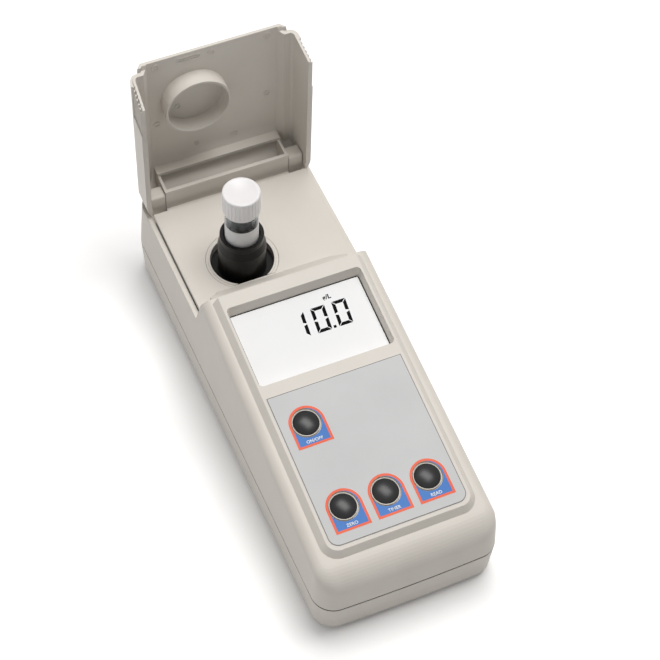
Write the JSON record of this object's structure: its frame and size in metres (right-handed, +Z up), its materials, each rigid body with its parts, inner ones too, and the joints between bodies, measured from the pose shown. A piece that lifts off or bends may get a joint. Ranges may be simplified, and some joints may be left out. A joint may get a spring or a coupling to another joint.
{
  "type": "benchtop photometer",
  "caption": "Benchtop photometer with a sloping key panel, a sunk display and a capped vial in a sample well under a hinged cover.",
  "frame": {"origin": "bottom centre of the whole object with its cover open", "axes": "+Z up, +Y from the key panel's front towards the rear, along the length; +X to the user's right"},
  "size_m": [0.085, 0.2294, 0.1257],
  "materials": {
    "case": "fine texture",
    "label": "printed sheet",
    "key": "smooth dome",
    "display": "display glass",
    "black": "dull black",
    "glass": "clear",
    "water": "clear liquid",
    "cap": "ribbed white",
    "paper": "label",
    "rubber": "soft",
    "steel": "zinc",
    "board": "solder mask",
    "battery": "printed can",
    "filter": "coated",
    "lamp": "clear lens"
  },
  "bodies": {
    "housing": {"upper_shell": "case", "lower_shell": "case", "well_ring": "case", "rubber_feet": "rubber", "housing_screws": "steel", "key_label": "label", "display_glass": "display", "display_frame": "black", "display_carrier": "black", "main_board": "board", "board_screws": "steel", "key_switches": "black", "board_chips": "black", "sounder": "black", "well_block": "black", "lamp_holder": "black", "lamp": "lamp", "light_filter": "filter", "light_detector": "black", "battery": "battery", "battery_clip": "black", "power_jack": "black", "hinge_pins": "steel"},
    "cover": {"cover": "case"},
    "adapter": {"vial_adapter": "black"},
    "vial": {"sample_vial": "glass", "vial_sample": "water", "vial_band": "paper"},
    "cap": {"vial_cap": "cap"},
    "battery_door": {"battery_door": "case"},
    "on_off_key": {"on_off_key": "key"},
    "zero_key": {"zero_key": "key"},
    "timer_key": {"timer_key": "key"},
    "read_key": {"read_key": "key"}
  },
  "joints": [
    {"name": "cover_hinge", "type": "hinge", "parent": "housing", "child": "cover", "pos_m": [0, 0.0996, 0.0513], "axis": [-1, 0, 0], "range_deg": [-90, 0]},
    {"name": "adapter_travel", "type": "slide", "parent": "housing", "child": "adapter", "axis": [0, 0, 1], "range_m": [-0.0322, 0]},
    {"name": "vial_lift", "type": "slide", "parent": "adapter", "child": "vial", "axis": [0, 0, 1], "range_m": [0, 0.03]},
    {"name": "cap_lift", "type": "slide", "parent": "vial", "child": "cap", "axis": [0, 0, 1], "range_m": [0, 0.015]},
    {"name": "battery_door_travel", "type": "slide", "parent": "housing", "child": "battery_door", "axis": [0, 0, -1], "range_m": [0, 0.002]},
    {"name": "on_off_press", "type": "slide", "parent": "housing", "child": "on_off_key", "axis": [0, -0.1676, 0.9859], "range_m": [-0.0006, 0], "stiffness_N_per_m": 600},
    {"name": "zero_press", "type": "slide", "parent": "housing", "child": "zero_key", "axis": [0, -0.1676, 0.9859], "range_m": [-0.0006, 0], "stiffness_N_per_m": 600},
    {"name": "timer_press", "type": "slide", "parent": "housing", "child": "timer_key", "axis": [0, -0.1676, 0.9859], "range_m": [-0.0006, 0], "stiffness_N_per_m": 600},
    {"name": "read_press", "type": "slide", "parent": "housing", "child": "read_key", "axis": [0, -0.1676, 0.9859], "range_m": [-0.0006, 0], "stiffness_N_per_m": 600}
  ],
  "couplings": [
    {"joint": "adapter_travel", "follows": "cover_hinge", "m_per_rad": 0.020372}
  ]
}
